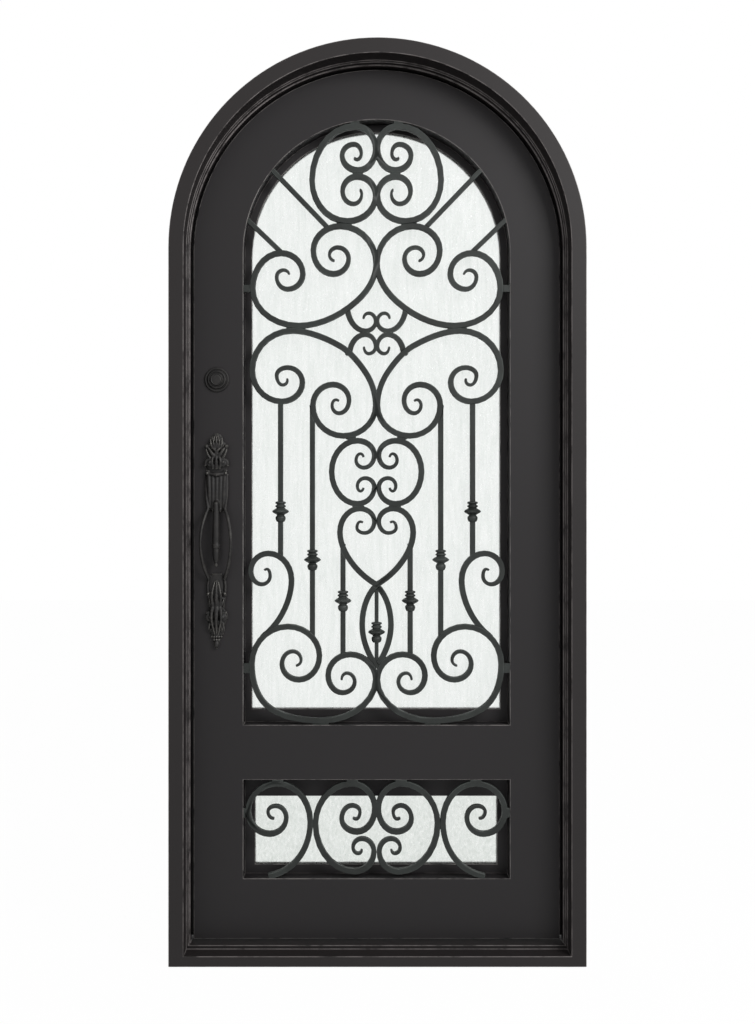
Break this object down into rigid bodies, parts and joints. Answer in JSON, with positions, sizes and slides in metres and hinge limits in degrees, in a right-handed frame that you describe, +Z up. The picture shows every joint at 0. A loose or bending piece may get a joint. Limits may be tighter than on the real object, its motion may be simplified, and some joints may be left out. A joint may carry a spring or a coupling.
{
  "type": "wrought iron entry door",
  "caption": "Round-top entry door of dark painted iron in its frame, with scroll grilles over two textured windows, ornate pulls and a hinged leaf.",
  "frame": {"origin": "underside of the sill, at mid width and mid depth of the frame", "axes": "+Z up, -Y towards the street face, +Y towards the room, +X towards the hinge jamb"},
  "size_m": [0.936, 0.165, 2.08],
  "materials": {
    "frame_paint": "satin dark bronze powder coat",
    "leaf_paint": "satin dark bronze powder coat",
    "grille_iron": "satin charcoal paint over forged bar",
    "cast_hardware": "rubbed dark bronze casting",
    "bare_steel": "brushed",
    "seal": "matt black extrusion",
    "textured_glass": "rain-textured obscure glass"
  },
  "bodies": {
    "frame": {"jamb_latch_side": "frame_paint", "jamb_hinge_side": "frame_paint", "arch_head": "frame_paint", "sill": "frame_paint", "weatherstrip": "seal", "strike_plate": "bare_steel", "frame_hinge_low": "frame_paint", "frame_hinge_mid": "frame_paint", "frame_hinge_top": "frame_paint"},
    "leaf": {"lock_stile": "leaf_paint", "hinge_stile": "leaf_paint", "arch_rail": "leaf_paint", "mid_rail": "leaf_paint", "bottom_rail": "leaf_paint", "upper_sash": "leaf_paint", "lower_sash": "leaf_paint", "upper_glass": "textured_glass", "lower_glass": "textured_glass", "crown_scrolls": "grille_iron", "shoulder_scrolls": "grille_iron", "centre_hooks": "grille_iron", "waist_scrolls": "grille_iron", "oval_scrolls": "grille_iron", "heart_scrolls": "grille_iron", "almond_loop": "grille_iron", "side_scrolls": "grille_iron", "base_scrolls": "grille_iron", "upright_bars": "grille_iron", "knuckle_collars": "grille_iron", "corner_spokes": "grille_iron", "edge_ties": "grille_iron", "lower_outer_scrolls": "grille_iron", "lower_inner_scrolls": "grille_iron", "exterior_pull": "cast_hardware", "interior_pull": "cast_hardware", "exterior_lock_rose": "cast_hardware", "interior_lock_turn": "cast_hardware", "lock_faceplate": "bare_steel", "leaf_hinge_low": "leaf_paint", "leaf_hinge_mid": "leaf_paint", "leaf_hinge_top": "leaf_paint"}
  },
  "joints": [
    {"name": "leaf_swing", "type": "hinge", "parent": "frame", "child": "leaf", "pos_m": [0.4355, 0.076, 0.855], "axis": [0, 0, -1], "range_deg": [0, 110]}
  ]
}
